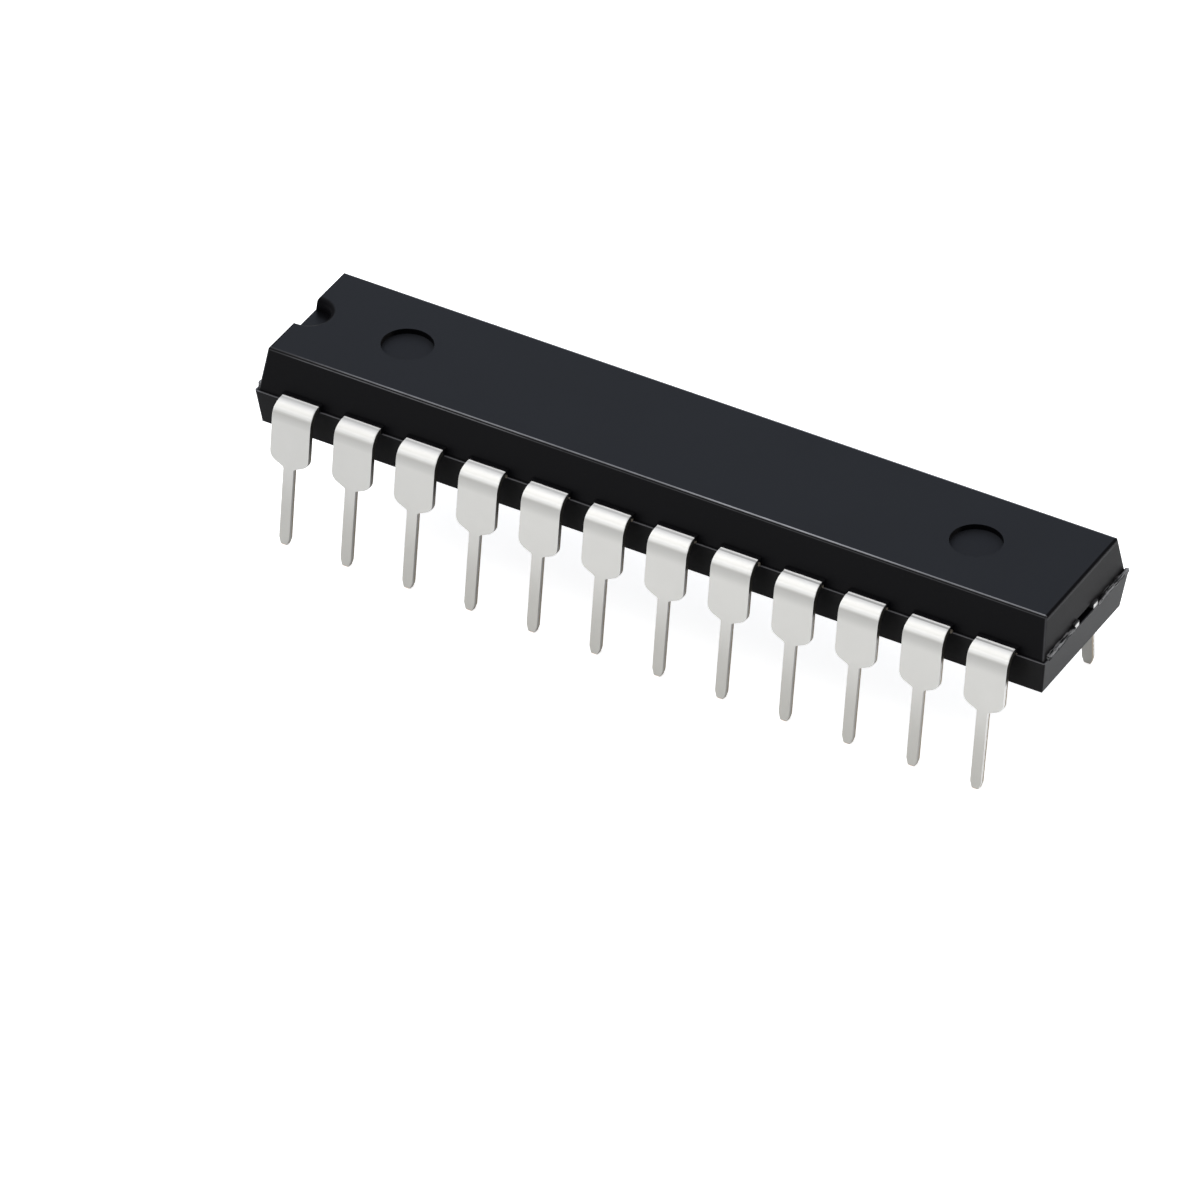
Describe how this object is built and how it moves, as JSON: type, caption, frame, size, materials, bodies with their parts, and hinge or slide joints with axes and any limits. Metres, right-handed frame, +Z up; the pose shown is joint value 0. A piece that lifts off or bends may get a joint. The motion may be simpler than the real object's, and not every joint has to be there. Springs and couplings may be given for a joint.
{
  "type": "dual in-line integrated circuit package",
  "caption": "Black moulded dual in-line chip package with a half-round end notch, two ejector marks and two rows of bent, tin-plated leads on a 0.1 inch pitch.",
  "frame": {"origin": "middle of the footprint on the plane of the lead tips", "axes": "+X along the body away from the notch, +Y from the first row of leads to the second, +Z up through the blank top face"},
  "size_m": [0.0318, 0.0088, 0.0071],
  "materials": {
    "moulding_compound": "satin, fine eroded texture",
    "tin_plate": "satin tin plate, bare copper at the sheared ends",
    "copper_strip": "bare rolled copper alloy",
    "die_adhesive": "cured silver-filled epoxy",
    "silicon": "polished silicon",
    "gold_wire": "bare gold"
  },
  "bodies": {
    "root": {"body": "moulding_compound", "die_paddle": "copper_strip", "die_attach": "die_adhesive", "die": "silicon", "lead_01": "tin_plate", "lead_02": "tin_plate", "lead_03": "tin_plate", "lead_04": "tin_plate", "lead_05": "tin_plate", "lead_06": "tin_plate", "lead_07": "tin_plate", "lead_08": "tin_plate", "lead_09": "tin_plate", "lead_10": "tin_plate", "lead_11": "tin_plate", "lead_12": "tin_plate", "lead_13": "tin_plate", "lead_14": "tin_plate", "lead_15": "tin_plate", "lead_16": "tin_plate", "lead_17": "tin_plate", "lead_18": "tin_plate", "lead_19": "tin_plate", "lead_20": "tin_plate", "lead_21": "tin_plate", "lead_22": "tin_plate", "lead_23": "tin_plate", "lead_24": "tin_plate", "bond_wire_01": "gold_wire", "bond_wire_02": "gold_wire", "bond_wire_03": "gold_wire", "bond_wire_04": "gold_wire", "bond_wire_05": "gold_wire", "bond_wire_06": "gold_wire", "bond_wire_07": "gold_wire", "bond_wire_08": "gold_wire", "bond_wire_09": "gold_wire", "bond_wire_10": "gold_wire", "bond_wire_11": "gold_wire", "bond_wire_12": "gold_wire", "bond_wire_13": "gold_wire", "bond_wire_14": "gold_wire", "bond_wire_15": "gold_wire", "bond_wire_16": "gold_wire", "bond_wire_17": "gold_wire", "bond_wire_18": "gold_wire", "bond_wire_19": "gold_wire", "bond_wire_20": "gold_wire", "bond_wire_21": "gold_wire", "bond_wire_22": "gold_wire", "bond_wire_23": "gold_wire", "bond_wire_24": "gold_wire"}
  },
  "joints": []
}
